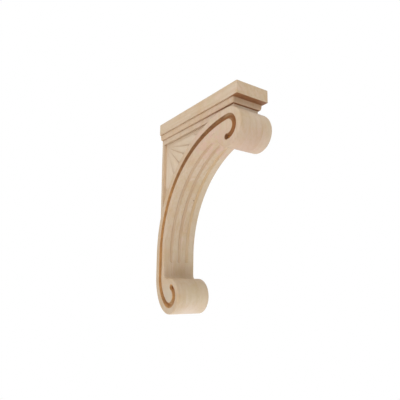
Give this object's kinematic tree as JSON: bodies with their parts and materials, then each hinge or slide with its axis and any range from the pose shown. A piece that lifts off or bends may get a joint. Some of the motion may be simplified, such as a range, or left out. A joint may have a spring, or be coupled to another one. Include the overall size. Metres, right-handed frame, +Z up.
{
  "type": "corbel bracket",
  "caption": "Carved wooden corbel bracket: a curved scroll with a roll at each end carries a square-edged top board that supports a shelf, counter or beam.",
  "frame": {"origin": "on the flat back that lies against the wall, midway across the width and at half the overall height", "axes": "+Y points into the wall, so the front faces -Y; +Z points up; +X runs across the width"},
  "size_m": [0.06, 0.2226, 0.33],
  "materials": {
    "top_board": "unfinished pale hardwood, sanded smooth, light grain along the depth",
    "scroll_body": "unfinished pale hardwood, sanded smooth, browner in the carved grooves"
  },
  "bodies": {
    "root": {"top_board": "top_board", "scroll_body": "scroll_body"}
  },
  "joints": []
}
